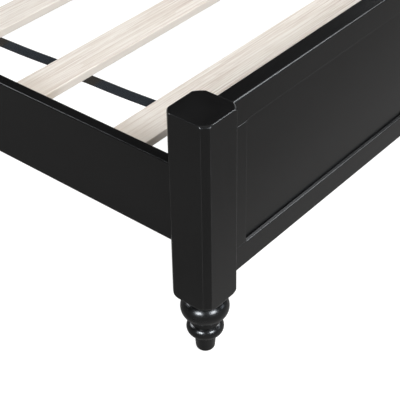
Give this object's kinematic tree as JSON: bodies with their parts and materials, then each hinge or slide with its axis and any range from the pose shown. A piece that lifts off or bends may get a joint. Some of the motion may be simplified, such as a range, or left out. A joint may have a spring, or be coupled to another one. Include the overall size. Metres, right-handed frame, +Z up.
{
  "type": "platform bed",
  "caption": "Platform bed with square chamfered posts on turned feet, a panelled footboard and headboard, plain side rails and a slatted deck.",
  "frame": {"origin": "on the floor, under the middle of the bed's outer box", "axes": "+Z up, +Y from the footboard towards the headboard, +X across the bed to the right when seen from the foot end"},
  "size_m": [1.616, 2.156, 1.15],
  "materials": {
    "black_painted_wood": "satin black paint over smooth wood",
    "whitewashed_slat": "pale whitewashed softwood, matt",
    "bare_pine": "bare planed pine, matt",
    "webbing": "woven polyester webbing, black",
    "zinc_steel": "zinc plated steel, satin",
    "nylon": "white nylon, matt"
  },
  "bodies": {
    "root": {"foot_post_left": "black_painted_wood", "foot_post_right": "black_painted_wood", "head_post_left": "black_painted_wood", "head_post_right": "black_painted_wood", "turned_foot_front_left": "black_painted_wood", "turned_foot_front_right": "black_painted_wood", "turned_foot_rear_left": "black_painted_wood", "turned_foot_rear_right": "black_painted_wood", "footboard_top_rail": "black_painted_wood", "footboard_bottom_rail": "black_painted_wood", "footboard_stile_left": "black_painted_wood", "footboard_stile_right": "black_painted_wood", "footboard_panel": "black_painted_wood", "footboard_batten": "black_painted_wood", "headboard_top_rail": "black_painted_wood", "headboard_mid_rail": "black_painted_wood", "headboard_bottom_rail": "black_painted_wood", "headboard_stile_left": "black_painted_wood", "headboard_stile_right": "black_painted_wood", "headboard_upper_panel": "black_painted_wood", "headboard_lower_panel": "black_painted_wood", "headboard_batten": "black_painted_wood", "side_rail_left": "black_painted_wood", "side_rail_right": "black_painted_wood", "slat_cleat_left": "bare_pine", "slat_cleat_right": "bare_pine", "centre_rail": "bare_pine", "centre_leg_1": "bare_pine", "centre_leg_2": "bare_pine", "centre_leg_3": "bare_pine", "slat_1": "whitewashed_slat", "slat_2": "whitewashed_slat", "slat_3": "whitewashed_slat", "slat_4": "whitewashed_slat", "slat_5": "whitewashed_slat", "slat_6": "whitewashed_slat", "slat_7": "whitewashed_slat", "slat_8": "whitewashed_slat", "slat_9": "whitewashed_slat", "webbing_strap_left": "webbing", "webbing_strap_right": "webbing", "saddle_foot_end": "zinc_steel", "saddle_head_end": "zinc_steel", "corner_bracket_front_left": "zinc_steel", "corner_bracket_front_right": "zinc_steel", "corner_bracket_rear_left": "zinc_steel", "corner_bracket_rear_right": "zinc_steel", "bracket_bolts": "zinc_steel", "threaded_inserts": "zinc_steel", "foot_hanger_bolts": "zinc_steel", "cleat_screws": "zinc_steel", "slat_screws": "zinc_steel", "batten_screws": "zinc_steel", "saddle_screws": "zinc_steel", "strap_staples": "zinc_steel", "leg_bolts": "zinc_steel", "leg_nuts": "zinc_steel", "leg_glides": "nylon"}
  },
  "joints": []
}
